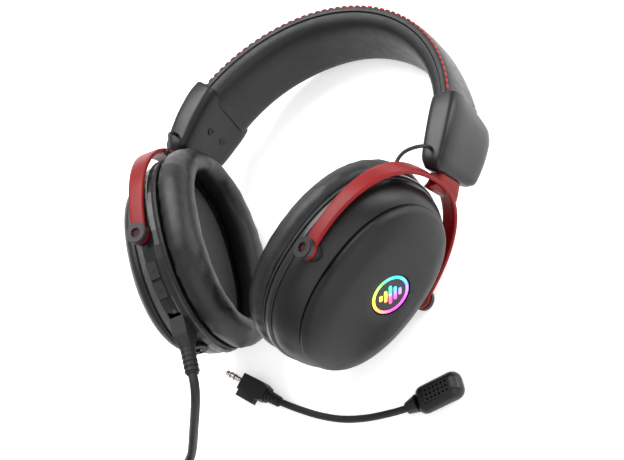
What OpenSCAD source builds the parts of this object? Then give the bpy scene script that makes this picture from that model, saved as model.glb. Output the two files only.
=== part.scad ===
// Over-ear gaming headset with a detachable boom microphone. Dimensions in millimetres.
// The parts are modelled as worn, in the cup frame: X from ear to ear, +Y to the front, +Z up,
// with the cups' pivots at Y = 0, Z = 0. lay() then turns the assembly onto its front, as it
// lies on a desk: +Z is up, +Y runs from the cups to the crown.
// Each cup has its own frame: x outward from the head, y to the front, z up along the cup.

/* [Headband] */
// Half width of the arch over the head, at the stitched edge
band_half_w = 81; // [78:0.5:84]
// Half height of the arch's ellipse
band_half_h = 86.5; // [84:0.5:89]
// Height of the ellipse's centre above the pivots
band_centre_z = 57; // [55:0.5:59]
// Width of the band, front to back
band_w = 38; // [36:0.5:38.5]
// Height of the padding's crown above the stitched edge
band_crown = 3.5; // [2:0.5:5]
// Forward lean of the band from the cups
band_pitch = 15.9; // [15.5:0.1:16.2]

/* [Cups] */
// Distance from the middle of the head to a cup's middle
pivot_x = 55.7; // [55:0.1:57]
// Lean of a resting cup, its lower edge inward
cup_lean = 28.9; // [28:0.1:30]
// Turn of the cups and yokes about the vertical, their rear edges inward
cup_turn = 6.6; // [5:0.1:8]
// Half width of the ear cushion, front to back
cushion_y = 43.9; // [43:0.1:45]
// Half height of the ear cushion
cushion_z = 53.4; // [52.5:0.1:54]
// Half width of the ear opening
opening_y = 26; // [24:1:28]
// Half height of the ear opening
opening_z = 40; // [38:1:41]
// Radius of the speaker driver
driver_r = 25; // [20:1:26]
// Radius of the lit emblem
emblem_r = 10.8; // [9:0.2:12]

/* [Yokes] */
// Lean of the yokes from upright
yoke_lean = 24; // [23:0.5:26]
// Distance from the cup's middle to the middle of a yoke arm
arm_y = 43.5; // [43.4:0.1:43.6]
// Distance from the pivot line to the top of the yoke
yoke_z = 55.5; // [55:0.5:56]
// Radius of a pivot pin
pin_r = 2; // [1.5:0.1:2.2]
// Length of the slider bar above the yoke
slider_len = 28; // [26:1:28]

/* [Controls and lead] */
// Length of a volume button
button_len = 9; // [8:0.1:9.2]
// Width of a volume button
button_w = 5.4; // [4:0.1:6]
// Diameter of the lead
cord_d = 4.6; // [4:0.1:4.8]

/* [Microphone] */
// Diameter of the flexible boom
boom_d = 3.6; // [3:0.1:4]
// Length of the capsule housing
capsule_len = 25; // [22:1:28]
// Width of the capsule housing
capsule_w = 14.5; // [12:0.5:15]

/* [Hidden] */

$fn = 48;

// Resting place on the desk: height of the pivots, lift of the crown, and the shift that centres
// the assembly without its lead
rest_h = 47.63;
rest_tilt = 4.23;
lay_x = -5.03;
lay_y = -40.77;

// Smoothness of the lofted shapes
oval_n = 2.2;
oval_steps = 48;
band_steps = 26;
band_end = 69;

// Levels along a cup's axis, outward from the head
cushion_in = -28.6;
cushion_out = -10.4;
trim_in = -10.2;
shell_in = -5.6;
shell_out = 8;
cap_out = 19.8;

// Pivot stack along the arm, from the cup outward
boss_face = 41.7;
lug_in = 42.2;
lug_out = 44.8;
disc_out = 47.4;
disc_r = 5.4;
running_gap = 0.05;

// The cup's oval, turned a little about the pivots and set off from them
oval_roll = 2.3;
oval_shift = [0, -1.2, -2.4];
emblem_at = [0, 1.4, 3];

// Slider bar and the stem that joins it to the yoke
stem = [79, 14, 50.6];
slider_lean = 7;
slider_t = 2.4;
slider_w = 10;
slider_gap = 0.35;

// Middle of each volume button on the left shell and the wall's turn there, lower one first
button_at = [[-1.2, -34.8, -28], [-1.2, -38.2, -18.4]];
button_turn = [25.6, 14.6];
button_gap = 0.3;

// Sockets on the left cup's lower edge
socket_at = [-0.5, -6];
relief_at = [-2.8, -22];
relief_end = -70;

// Standard 3.5 mm jack plug
jack_d = 3.5;
jack_len = 14;

module lay() { translate([lay_x, lay_y, rest_h]) rotate([rest_tilt - 90, 0, 0]) children(); }
module on_side(right) { if (right) children(); else mirror([1, 0, 0]) children(); }
module in_pivot(right) {
    lay() on_side(right) translate([pivot_x, 0, 0]) rotate([0, cup_lean, -cup_turn]) children();
}
module in_cup(right) { in_pivot(right) rotate([-oval_roll, 0, 0]) translate(oval_shift) children(); }
module in_yoke(right) {
    lay() on_side(right) translate([pivot_x, 0, 0]) rotate([0, yoke_lean, -cup_turn]) children();
}
module in_slider(right) {
    lay() on_side(right) translate(stem) rotate([0, -slider_lean, 0]) children();
}
module in_band() { lay() rotate([-band_pitch, 0, 0]) children(); }

// A solid through rings of points. Each ring runs anticlockwise seen from ahead.
module skin(rings, closed = false) {
    n = len(rings[0]);
    m = len(rings);
    last = closed ? m - 1 : m - 2;
    points = [for (ring = rings) each ring];
    sides = [for (j = [0:last]) for (i = [0:n - 1])
        let (a = j * n, b = ((j + 1) % m) * n, k = (i + 1) % n)
        each [[a + i, b + i, b + k], [a + i, b + k, a + k]]];
    ends = closed ? [] : [[for (i = [0:n - 1]) i], [for (i = [n - 1:-1:0]) (m - 1) * n + i]];
    polyhedron(points, concat(sides, ends), convexity = 6);
}

function signed_pow(v, e) = sign(v) * pow(abs(v), e);
function oval(a, b, n = oval_n, count = oval_steps) =
    [for (i = [0:count - 1]) let (t = 360 * i / count)
        [a * signed_pow(cos(t), 2 / n), b * signed_pow(sin(t), 2 / n)]];
function oval_ring(x, a, b) = [for (p = oval(a, b)) [x, p[0], p[1]]];

// A loft of ovals along a cup's axis, from a profile of [x, half width, half height]
module oval_loft(profile, closed = false) {
    skin([for (s = profile) oval_ring(s[0], s[1], s[2])], closed);
}
// Copies at the rear and the front of a cup
module both_ends() { for (m = [0, 1]) mirror([0, m, 0]) children(); }
// A plate of even thickness across a cup's axis
module across(x, t) { translate([x, 0, 0]) rotate([90, 0, 90]) linear_extrude(t) children(); }
module rod_x(x, len, r) { translate([x, 0, 0]) rotate([0, 90, 0]) cylinder(h = len, r = r); }
module rod_y(y, len, r) { translate([0, y, 0]) rotate([-90, 0, 0]) cylinder(h = len, r = r); }

// ---- Headband ----

function arch_point(t, r) =
    let (nx = band_half_h * sin(t), nz = band_half_w * cos(t), n = norm([nx, nz]))
    [band_half_w * sin(t) + r * nx / n, band_centre_z + band_half_h * cos(t) + r * nz / n];
function arch_ring(t, section) =
    [for (s = section) let (p = arch_point(t, s[1])) [p[0], s[0], p[1]]];
module arch(section, from = -band_end, to = band_end, steps = band_steps) {
    skin([for (i = [0:steps]) arch_ring(from + (to - from) * i / steps, section)]);
}

cover_base = -3.2;
pad_top = -4.2;
pad_swell = 6;
spring_w = 22;
half_w = band_w / 2;

// Sections of the three layers, grown by a clearance
function cover_section(g) = concat([[half_w + g, cover_base]],
    [for (t = [0:18:180]) [(half_w + g) * cos(t), (band_crown + g) * sin(t)]],
    [[-half_w - g, cover_base]]);
function pad_section(g) = let (w = half_w - 1 + g) concat([[w, pad_top], [-w, pad_top]],
    [for (t = [22.5:22.5:157.5]) [-w * cos(t), pad_top - (pad_swell + g) * pow(sin(t), 0.4)]]);
function spring_section(s, g) =
    [[s, pad_top - g], [s, cover_base + g], [-s, cover_base + g], [-s, pad_top - g]];

module headband_cover() { color("#242427") in_band() arch(cover_section(0)); }
module headband_pad() { color("#2b2b2e") in_band() arch(pad_section(0)); }
module headband_spring() { color("silver") in_band() arch(spring_section(spring_w / 2, -0.1)); }
// Pocket in the right end cap for the end of the band
module band_pocket() {
    rotate([-band_pitch, 0, 0]) union() {
        arch(cover_section(0.15), 58, band_end + 0.2, 4);
        arch(pad_section(0.15), 58, band_end + 0.2, 4);
        arch(spring_section(half_w, 0.1), 58, band_end + 0.2, 4);
    }
}

// One level of an end cap: [middle, half thickness, half width, pitch, lean]
function turn_y(p, a) = [p[0] * cos(a) + p[2] * sin(a), p[1], p[2] * cos(a) - p[0] * sin(a)];
function turn_x(p, a) = [p[0], p[1] * cos(a) - p[2] * sin(a), p[1] * sin(a) + p[2] * cos(a)];
function cap_level(c, h, w, pitch, lean) =
    [for (p = oval(h, w, 4.5, 28)) c + turn_x(turn_y([p[0], -p[1], 0], lean), pitch)];

module end_cap_solid() {
    skin([
        cap_level([73.4, 24.4, 88.4], 8, 20.6, -band_pitch, -20),
        cap_level([75.2, 22.6, 82], 8.6, 21, -14, -14),
        cap_level([77, 19.8, 72], 8.4, 20.4, -10, -6),
        cap_level([78, 17.6, 63], 7.9, 19.2, -6, 0),
        cap_level([78.6, 16.2, 57.6], 7.2, 18, -3, 3),
        cap_level([78.8, 15.4, 54.6], 5.4, 15.4, 0, 4)
    ]);
}
// Everything that the slider bar, the inner plate and its screws need cut out of an end cap
module slider_slot() {
    rotate([0, -slider_lean, 0])
        translate([-slider_t / 2 - slider_gap, -slider_w / 2 - slider_gap, -6])
            cube([slider_t + 2 * slider_gap, slider_w + 2 * slider_gap, slider_len + 9]);
}
plate_at = [70, 19.4, 70];
plate_size = [1.6, 20, 15];
plate_lean = -6;
screw_span = 11;
module at_plate() {
    translate(plate_at) rotate([-9, plate_lean, 0]) children();
}
module plate_block(grow, front = 0) {
    translate([-front, -plate_size[1] / 2 - grow, -plate_size[2] / 2 - grow])
        cube([plate_size[0] + grow + front, plate_size[1] + 2 * grow, plate_size[2] + 2 * grow]);
}
screw_r = 1.4;
screw_head_r = 2.1;
module plate_screws() {
    for (s = [-1, 1]) translate([0, s * screw_span / 2, 0]) {
        translate([-1.4, 0, 0]) rod_x(0, 1.4, screw_head_r);
        rod_x(0, 3.4, screw_r);
    }
}
module end_cap(right) {
    color("#1d1d20") lay() on_side(right) difference() {
        end_cap_solid();
        band_pocket();
        wire_hole();
        translate(stem) slider_slot();
        at_plate() plate_block(0.1, 5);
        at_plate() for (s = [-1, 1]) translate([0, s * screw_span / 2, 0]) rod_x(0, 3.6, screw_r);
    }
}
module end_plate(right) {
    color("#2e2e31") lay() on_side(right) at_plate() difference() {
        plate_block(0);
        for (s = [-1, 1]) translate([0, s * screw_span / 2, 0]) rod_x(-1, 5, screw_r);
    }
}
module end_screws() {
    color("#3a3a3d") for (right = [false, true]) lay() on_side(right) at_plate() difference() {
        plate_screws();
        for (s = [-1, 1]) translate([-2, s * screw_span / 2, 0])
            rotate([0, 90, 0]) cylinder(h = 1.4, r = 0.9, $fn = 6);
    }
}

// ---- Yokes ----

hoop_steps = 24;
arm_w = 7.6;
crown_w = 11.5;
hoop_t = 2.4;
hoop_n = 2.3;
function hoop_ring(t) =
    let (c = [arm_y * signed_pow(cos(t), 2 / hoop_n), yoke_z * signed_pow(sin(t), 2 / hoop_n)],
         g = [signed_pow(c[0] / arm_y, hoop_n - 1) / arm_y, signed_pow(c[1] / yoke_z, hoop_n - 1) / yoke_z],
         n = g / norm(g),
         w = (arm_w + (crown_w - arm_w) * pow(sin(t), 2)) / 2)
    [for (p = oval(hoop_t / 2, w, 5, 12)) [p[1], c[0] + p[0] * n[0], c[1] + p[0] * n[1]]];

module yoke(right) {
    color("#8f1f1c") difference() {
        union() {
            in_yoke(right) {
                skin([for (i = [0:hoop_steps]) hoop_ring(180 - 180 * i / hoop_steps)]);
                both_ends() rod_y(lug_in, lug_out - lug_in - 0.1, 5);
            }
            lay() on_side(right) translate([stem[0] - 4, stem[1] - 9.5, 46.4]) cube([8, 19, 2.4]);
        }
        in_yoke(right) both_ends() rod_y(lug_in - 1, 6, pin_r + 0.02);
        in_slider(right) bar_block(0.05);
    }
}
module bar_block(grow) {
    translate([-slider_t / 2 - grow, -slider_w / 2 - grow, -1.8 - grow])
        cube([slider_t + 2 * grow, slider_w + 2 * grow, slider_len + 4 + grow]);
}
module slider_bar(right) {
    color("#8a8a8e") in_slider(right) difference() {
        bar_block(0);
        for (i = [1:4]) translate([0, 0, 5 * i + 4]) rod_x(-3, 6, 1.1);
    }
}
module pivot_pins(right) {
    color("#77777a") in_yoke(right)
        both_ends() rod_y(36, lug_out - 36.1, pin_r);
}
module pivot_discs(right) {
    color("#3c3c40") in_yoke(right) both_ends() difference() {
        union() {
            rod_y(lug_out, disc_out - lug_out - 0.5, disc_r);
            rod_y(disc_out - 0.6, 0.6, disc_r - 0.5);
        }
        translate([0, disc_out - 1.2, 0]) rotate([-90, 0, 0]) for (a = [0:30:90])
            rotate(a) cylinder(h = 2, r = 2.9, $fn = 3);
    }
}

// A round tube swept through points, with flat ends
function unit(v) = v / norm(v);
function heading(p, i) = unit(p[min(i + 1, len(p) - 1)] - p[max(i - 1, 0)]);
function tube_ring(c, dir, r, sides) =
    let (u = unit(cross(abs(dir[2]) > 0.9 ? [1, 0, 0] : [0, 0, 1], dir)), v = cross(dir, u))
    [for (i = [0:sides - 1]) c + r * (cos(360 * i / sides) * u + sin(360 * i / sides) * v)];
// Catmull-Rom points between the route's own points
function between(a, b, c, d, t) =
    0.5 * (2 * b + (c - a) * t + (2 * a - 5 * b + 4 * c - d) * t * t
           + (3 * b - a - 3 * c + d) * t * t * t);
function smooth_route(p, cuts) = concat(
    [for (i = [0:len(p) - 2]) for (k = [0:cuts - 1])
        between(p[max(i - 1, 0)], p[i], p[i + 1], p[min(i + 2, len(p) - 1)], k / cuts)],
    [p[len(p) - 1]]);
module tube(route, d, sides, cuts = 2) {
    p = smooth_route(route, cuts);
    skin([for (i = [0:len(p) - 1]) tube_ring(p[i], heading(p, i), d / 2, sides)]);
}

// The thin lead from an end cap to the top of the cup, as worn
link_route = [
    [77.8, -1.6, 63.6], [77.2, -6, 63.2], [75, -10.6, 61], [71.4, -13.6, 57.4], [69.4, -14.8, 52.6],
    [70.4, -15.6, 48.4]
];
module wire_hole() { translate(link_route[0] + [0, -6, 0]) rotate([-90, 0, 0]) cylinder(h = 12, r = 1.2); }
module link_wire(right) { color("#151517") lay() on_side(right) tube(link_route, 1.9, 8); }

// ---- Cups ----

module outer_cap(right) {
    color("#1c1c1f") in_cup(right) difference() {
        oval_loft([
            [cap_out - 3.4, 6, 8], [cap_out - 4.2, 19, 26.5], [cap_out - 7.6, 27, 38],
            [shell_out + 0.4, 30.2, 43],
            [shell_out + 0.4, 32.8, 45.6], [shell_out + 2.2, 33.2, 46], [shell_out + 5, 31.9, 44.3],
            [shell_out + 7.6, 28.6, 40.2], [cap_out - 1.6, 23.6, 33.7],
            [cap_out - 0.5, 17.6, 24.5], [cap_out, 13, 15.4]
        ]);
        translate(emblem_at) rod_x(cap_out - 8, 12, emblem_r + 0.3);
    }
}
module shell(right) {
    color("#202023") difference() {
        union() {
            in_cup(right) oval_loft([
                [shell_in, 40.9, 50.9], [-2, 40.5, 50.6], [2, 38.7, 49.4],
                [5.5, 35.9, 47.6], [shell_out, 33.2, 45.5],
                [shell_out, 30.2, 42.7], [5, 33.1, 45], [1, 36.2, 47], [-2, 38.2, 48.2], [shell_in, 38.6, 48.6]
            ], closed = true);
            in_pivot(right) both_ends() rod_y(36.4, boss_face - 36.4, 5);
        }
        in_pivot(right) both_ends() rod_y(34, 14, pin_r + running_gap);
        if (!right) in_cup(false) control_window();
        if (!right) in_cup(false) socket_holes();
    }
}
module trim_ring(right) {
    color("#19191b") in_cup(right) difference() {
        oval_loft([
            [trim_in, 41.4, 51.4], [trim_in + 1, 42, 52],
            [shell_in - 1, 42, 52], [shell_in - 0.1, 41.4, 51.4],
            [shell_in - 0.1, 38.6, 48.6], [trim_in, 38.6, 48.6]
        ], closed = true);
        if (!right) socket_holes();
    }
}
module baffle(right) {
    color("#2c2c2e") in_cup(right) difference() {
        across(trim_in + 0.4, 2) polygon(oval(38.4, 48.4));
        rod_x(trim_in - 1, 5, driver_r - 3);
        for (z = [-38, 38]) for (y = [-8, 0, 8]) translate([0, y, z]) rod_x(trim_in - 1, 5, 1.5);
    }
}
// Basket, magnet and terminal board of the driver, one turned solid each
module driver(right) {
    color("#9a9a9e") in_cup(right) translate([trim_in + 2.5, 0, 0]) rotate([0, 90, 0]) rotate_extrude()
        polygon([
            [driver_r - 4.4, 0], [driver_r, 0], [driver_r, 1.4], [driver_r - 3, 2.4], [driver_r - 8, 5],
            [14, 5.4], [14, 9.4], [0, 9.4], [0, 3.4], [driver_r - 9, 3.4], [driver_r - 4.4, 1.2]
        ]);
}
module diaphragm(right) {
    color("#6e5a3c") in_cup(right) translate([trim_in + 2.6, 0, 0]) rotate([0, 90, 0]) rotate_extrude()
        polygon([
            [0, -1.5], [7, -0.4], [14, -1.4], [driver_r - 4.5, -0.2], [driver_r - 4.5, 0.2], [14, -1],
            [7, 0], [0, -1.1]
        ]);
}
module cushion_plate(right) {
    color("#101012") in_cup(right) across(cushion_out - 1.4, 1.4) difference() {
        polygon(oval(42, 51.6));
        polygon(oval(opening_y + 4, opening_z + 3));
    }
}
module ear_cushion(right) {
    mid_y = (cushion_y + opening_y) / 2;
    mid_z = (cushion_z + opening_z) / 2;
    color("#161618") in_cup(right) oval_loft([
        [cushion_out - 1.6, cushion_y - 2, cushion_z - 2], [cushion_out - 4, cushion_y, cushion_z],
        [-21.6, cushion_y, cushion_z], [-25.6, cushion_y - 2.4, cushion_z - 2.4],
        [cushion_in + 0.6, cushion_y - 6, cushion_z - 4.8], [cushion_in, mid_y, mid_z],
        [cushion_in + 1, opening_y + 3, opening_z + 1.5], [-25, opening_y, opening_z],
        [-17, opening_y + 0.5, opening_z + 0.5], [cushion_out - 1.6, opening_y + 4, opening_z + 3]
    ], closed = true);
}
module ear_mesh(right) {
    color("#26262a") in_cup(right) across(cushion_out - 0.9, 0.6)
        polygon(oval(opening_y + 3.4, opening_z + 2.4));
}
module emblem(right) {
    color("#c84fd0") in_cup(right) translate(emblem_at) difference() {
        rod_x(cap_out - 1.9, 1.7, emblem_r);
        difference() {
            rod_x(cap_out - 0.5, 1, emblem_r - 2);
            rod_x(cap_out - 0.6, 1.2, emblem_r - 3.2);
        }
    }
}
module light_board(right) {
    color("#1d5a34") in_cup(right) translate(emblem_at) union() {
        rod_x(cap_out - 7.4, 1.4, 9.6);
        for (a = [0:60:300]) rotate([a, 0, 0]) translate([cap_out - 6.1, -1.4, 5]) cube([1.2, 2.8, 2.8]);
    }
}

// ---- Controls and sockets of the left cup ----

// A frame on the shell at a volume button, 0 lower and 1 upper: x along the cup's axis, y outward,
// z along the wall
module at_button(k) { translate(button_at[k]) rotate([button_turn[k], 0, 0]) mirror([0, 1, 0]) children(); }
module button_block(grow, out, depth) {
    translate([-button_w / 2 - grow, out - depth, -button_len / 2 - grow])
        cube([button_w + 2 * grow, depth, button_len + 2 * grow]);
}
module at_light() {
    translate([-3, -28, -38]) rotate([41, 0, 0]) mirror([0, 1, 0]) children();
}
module control_window() {
    for (k = [0, 1]) at_button(k) button_block(button_gap, 6, 12);
    at_light() rod_y(-6, 12, 1.3);
}
module control_board() {
    color("#1d5a34") in_cup(false) union() {
        translate([-4.6, -26.8, -31]) cube([6, 1.4, 19]);
        for (k = [0, 1]) translate([-3.2, -29, button_at[k][2] + 1]) cube([4, 2.3, 4]);
    }
}
module volume_button(k) {
    color("#2f2f33") in_cup(false) at_button(k) union() {
        button_block(0, 0.3, 4);
        rod_y(0.2, 0.4, 0.9);
    }
}
module status_light() { color("#d8e8ff") in_cup(false) at_light() rod_y(-4, 4.2, 1.2); }

// Cutter for the socket, its key slot and the strain relief's neck
module socket_holes() {
    translate([socket_at[0], socket_at[1], -54]) cylinder(h = 12, r = 4.1);
    translate([relief_at[0] - 4.1, relief_at[1] - 5.6, -56]) cube([8.2, 11.2, 20]);
}
module mic_socket() {
    color("#0f0f10") in_cup(false) translate([socket_at[0], socket_at[1], 0]) difference() {
        union() {
            translate([0, 0, -51.9]) cylinder(h = 1, r = 5);
            translate([0, 0, -50.9]) cylinder(h = 16.4, r = 4);
        }
        translate([0, 0, -53]) cylinder(h = 16, r = jack_d / 2 + running_gap);
        translate([-0.8, 0, -53]) cube([1.6, 4.6, 4]);
    }
}
module strain_relief() {
    color("#1a1a1c") in_cup(false) translate([relief_at[0], relief_at[1], 0]) difference() {
        union() {
            hull() {
                translate([-4, -5.5, -42]) cube([8, 11, 1]);
                translate([-4, -5, -50]) cube([8, 10, 1]);
                translate([0, 0, -57]) cylinder(h = 1, r = 3.6, $fn = 32);
            }
            translate([0, 0, relief_end]) cylinder(h = 14, r1 = 3.1, r2 = 3.6);
            for (i = [0:4]) translate([0, 0, relief_end + 1 + 2.6 * i]) cylinder(h = 1.2, r = 3.7);
        }
        translate([0, 0, relief_end - 1]) cylinder(h = 24, r = cord_d / 2);
    }
}

// ---- Lead, in the desk frame before the assembly is centred ----

cord_r = cord_d / 2;
floor_z = cord_r + 0.1;
coil_at = [-60, -142];
coil_mean_r = 27;
coil_rows = 3;
coil_layers = 4;
coil_pitch = cord_d + 0.05;
cord_route = [
    [-23.7, -48.7, 66.2], [-19.8, -55.7, 65.6], [-15.9, -62.7, 65], [-13.4, -68.2, 64], [-13.6, -73.6, 60.6],
    [-17.2, -79, 53.6], [-22.3, -83.2, 45.4], [-28.4, -86.8, 36], [-35, -90, 26.2], [-42, -93.2, 16.6],
    [-49.5, -97, 8.8], [-57, -101.8, 4.4], [-65.5, -107.8, 2.7], [-75.8, -114.6, floor_z]
];
plug_route = [
    [-60, -169, 16.4], [-54, -169, 16.4], [-48, -168.8, 15.6], [-41, -168, 13], [-34, -166.6, 9.4],
    [-27, -164.4, 6.4], [-20, -161.6, 4.8], [-14, -159, 4.6]
];
usb_at = [-14, -159, 4.6];
usb_turn = 24;
module on_desk() { translate([lay_x, lay_y, 0]) children(); }
module cord() {
    color("#18181a") on_desk() union() {
        tube(cord_route, cord_d, 10);
        tube(plug_route, cord_d, 10);
    }
}
module cord_coil() {
    half = coil_rows * coil_pitch / 2;
    height = coil_layers * coil_pitch;
    color("#18181a") on_desk() translate([coil_at[0], coil_at[1], 0.1]) rotate_extrude()
        translate([coil_mean_r, height / 2]) square([2 * half, height], center = true);
}
module in_usb() { on_desk() translate(usb_at) rotate([0, 0, usb_turn]) rotate([0, 90, 0]) children(); }
grip_len = 27;
module usb_plug_grip() {
    color("#161618") in_usb() difference() {
        union() {
            cylinder(h = 9, r1 = 3, r2 = 4);
            translate([-4.4, -8, 7]) cube([8.8, 16, grip_len - 7]);
        }
        translate([0, 0, -1]) cylinder(h = 9, r = cord_r);
        translate([-2.25, -6, grip_len - 5]) cube([4.5, 12, 6]);
    }
}
module usb_plug_shell() {
    color("silver") in_usb() translate([-2.25, -6, grip_len - 5]) difference() {
        cube([4.5, 12, 17]);
        translate([0.4, 0.4, 5.5]) cube([3.7, 11.2, 12]);
    }
}

// ---- Microphone, lying in front of the cups on the desk ----

mic_z = 3.8;
mic_tip = [-45.2, -45.6, mic_z];
mic_turn = -17;
boot_len = 17;
sleeve_len = 9;
boom_route = [
    [-12.2, -55.6, 3.8], [-6, -57.3, 3.8], [6, -59.6, 3.9], [20, -61.4, 4.2], [34, -61.6, 4.7],
    [48, -59.4, 5.2], [61.4, -55.4, 5.8], [69.6, -52.2, 6]
];
capsule_at = [69.6, -52.2, 6];
capsule_turn = 32;
collar_len = 6;
module in_mic() { on_desk() translate(mic_tip) rotate([0, 0, mic_turn]) children(); }
module in_capsule() { on_desk() translate(capsule_at) rotate([0, 0, capsule_turn]) children(); }
contact_at = [0, 4.6, 7.6];
ring_t = 0.9;
shank_r = 1.2;
module mic_plug() {
    color("silver") in_mic() rotate([0, 90, 0]) rotate_extrude() polygon([
        [0, 0], [0.7, 0], [1.6, 2], [1.2, 3.6], [jack_d / 2, 4.4], [jack_d / 2, contact_at[1]],
        [1.1, contact_at[1]], [1.1, contact_at[1] + ring_t], [jack_d / 2, contact_at[1] + ring_t],
        [jack_d / 2, contact_at[2]], [1.1, contact_at[2]], [1.1, contact_at[2] + ring_t],
        [jack_d / 2, contact_at[2] + ring_t], [jack_d / 2, jack_len], [shank_r, jack_len],
        [shank_r, jack_len + 4], [0, jack_len + 4]
    ]);
}
module mic_plug_rings() {
    color("#a06a5a") in_mic() for (i = [1, 2]) difference() {
        rod_x(contact_at[i], ring_t, jack_d / 2);
        rod_x(contact_at[i] - 1, ring_t + 2, 1.1);
    }
}
module mic_boot() {
    color("#1b1b1d") in_mic() difference() {
        union() {
            hull() {
                translate([jack_len, -4.4, -3.4]) cube([1, 8.8, 6.8]);
                translate([jack_len + boot_len - 5, -4.8, -3.6]) cube([1, 9.6, 7.2]);
                translate([jack_len + boot_len - 1, -3.6, -3]) cube([1, 7.2, 6]);
            }
            translate([jack_len, -7.6, -1.6]) cube([12, 4.4, 3.2]);
        }
        rod_x(jack_len - 1, 5, shank_r);
    }
}
module mic_sleeve() {
    color("#1b1b1d") in_mic() difference() {
        union() {
            rod_x(jack_len + boot_len, sleeve_len, 2.6);
            for (i = [0:3]) rod_x(jack_len + boot_len + 0.6 + 2.2 * i, 1.2, 3.1 - 0.12 * i);
        }
        rod_x(jack_len + boot_len - 1, sleeve_len + 2, boom_d / 2);
    }
}
module mic_boom() { color("#151517") on_desk() tube(boom_route, boom_d, 10); }
module mic_collar() {
    color("#232326") in_capsule() difference() {
        rotate([0, 90, 0]) cylinder(h = collar_len, r1 = 3, r2 = 4.6);
        rod_x(-1, 3, boom_d / 2);
    }
}
module capsule_shape(shrink) {
    hull() for (s = [-1, 1]) {
        x = collar_len + (s < 0 ? 4 : capsule_len - 5);
        r = (s < 0 ? 4 : 5);
        for (y = [-1, 1]) translate([x, y * (capsule_w / 2 - r), 0]) sphere(r = r - shrink, $fn = 20);
    }
}
module mic_housing() {
    color("#1d1d1f") in_capsule() difference() {
        capsule_shape(0);
        capsule_shape(1.3);
        translate([collar_len + 5, -4.2, 2]) cube([capsule_len - 10, 8.4, 8]);
    }
}
module mic_grille() {
    color("#3a3a3e") in_capsule() difference() {
        translate([collar_len + 5.2, -4, 3]) cube([capsule_len - 10.4, 8, 1.2]);
        for (x = [0:5]) for (y = [-1, 0, 1])
            translate([collar_len + 7 + 2.2 * x, 2.4 * y, 2]) cylinder(h = 4, r = 0.6);
    }
}
module mic_capsule() {
    color("#a8a8ac") in_capsule() translate([collar_len + capsule_len / 2, 0, -2.6]) cylinder(h = 4.6, r = 3);
}

headband_cover();
headband_pad();
headband_spring();
end_cap(false);  // left_end_cap
end_cap(true);  // right_end_cap
end_plate(false);  // left_end_plate
end_plate(true);  // right_end_plate
end_screws();
yoke(false);  // left_yoke
yoke(true);  // right_yoke
slider_bar(false);  // left_slider_bar
slider_bar(true);  // right_slider_bar
pivot_pins(false);  // left_pivot_pins
pivot_pins(true);  // right_pivot_pins
pivot_discs(false);  // left_pivot_discs
pivot_discs(true);  // right_pivot_discs
link_wire(false);  // left_link_wire
link_wire(true);  // right_link_wire
outer_cap(false);  // left_outer_cap
outer_cap(true);  // right_outer_cap
shell(false);  // left_shell
shell(true);  // right_shell
trim_ring(false);  // left_trim_ring
trim_ring(true);  // right_trim_ring
baffle(false);  // left_baffle
baffle(true);  // right_baffle
driver(false);  // left_driver
driver(true);  // right_driver
diaphragm(false);  // left_diaphragm
diaphragm(true);  // right_diaphragm
cushion_plate(false);  // left_cushion_plate
cushion_plate(true);  // right_cushion_plate
ear_cushion(false);  // left_ear_cushion
ear_cushion(true);  // right_ear_cushion
ear_mesh(false);  // left_ear_mesh
ear_mesh(true);  // right_ear_mesh
emblem(false);  // left_emblem
emblem(true);  // right_emblem
light_board(false);  // left_light_board
light_board(true);  // right_light_board
control_board();
volume_button(1);  // volume_up_button
volume_button(0);  // volume_down_button
status_light();
mic_socket();
strain_relief();
cord();
cord_coil();
usb_plug_grip();
usb_plug_shell();
mic_plug();
mic_plug_rings();
mic_boot();
mic_sleeve();
mic_boom();
mic_collar();
mic_housing();
mic_grille();
mic_capsule();
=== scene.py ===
import math

import bmesh
import bpy
import numpy as np
from mathutils import Matrix, Vector


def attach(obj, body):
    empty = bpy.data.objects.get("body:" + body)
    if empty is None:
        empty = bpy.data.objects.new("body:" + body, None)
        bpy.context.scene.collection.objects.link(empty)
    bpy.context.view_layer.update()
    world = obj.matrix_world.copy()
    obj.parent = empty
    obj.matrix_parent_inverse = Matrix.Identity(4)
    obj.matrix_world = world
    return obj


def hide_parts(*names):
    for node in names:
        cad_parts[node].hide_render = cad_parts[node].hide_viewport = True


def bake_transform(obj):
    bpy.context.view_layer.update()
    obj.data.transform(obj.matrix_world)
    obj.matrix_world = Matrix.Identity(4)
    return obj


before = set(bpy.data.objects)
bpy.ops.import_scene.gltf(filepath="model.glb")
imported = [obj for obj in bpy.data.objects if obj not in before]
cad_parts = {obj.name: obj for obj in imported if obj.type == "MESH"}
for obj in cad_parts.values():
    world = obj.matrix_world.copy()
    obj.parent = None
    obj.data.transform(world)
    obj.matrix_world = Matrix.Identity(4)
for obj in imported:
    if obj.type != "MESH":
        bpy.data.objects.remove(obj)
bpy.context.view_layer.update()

# ---------------------------------------------------------------- dimensions, mm
# The same driving dimensions as the part's, in its frame: X from ear to ear, Y to the front, Z up.
REST_H = 47.63
REST_TILT = 4.23
LAY_X, LAY_Y = -5.03, -40.77
PIVOT_X = 55.7
CUP_LEAN = 28.9
CUP_TURN = 6.6
YOKE_LEAN = 24.0
BAND_PITCH = 15.9
BAND_HALF_W = 81.0
BAND_HALF_H = 86.5
BAND_CENTRE_Z = 57.0
BAND_W = 38.0
BAND_CROWN = 3.5
BAND_END = 69.0
COVER_BASE = -3.2
PAD_TOP = -4.2
PAD_SWELL = 6.0
OVAL_N = 2.2
OVAL_ROLL = 2.3
OVAL_SHIFT = (0.0, -1.2, -2.4)
CUSHION_Y, CUSHION_Z = 43.9, 53.4
OPENING_Y, OPENING_Z = 26.0, 40.0
CUSHION_IN, CUSHION_OUT = -28.6, -10.4
TRIM_IN, SHELL_IN, SHELL_OUT, CAP_OUT = -10.2, -5.6, 8.0, 19.8
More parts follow.
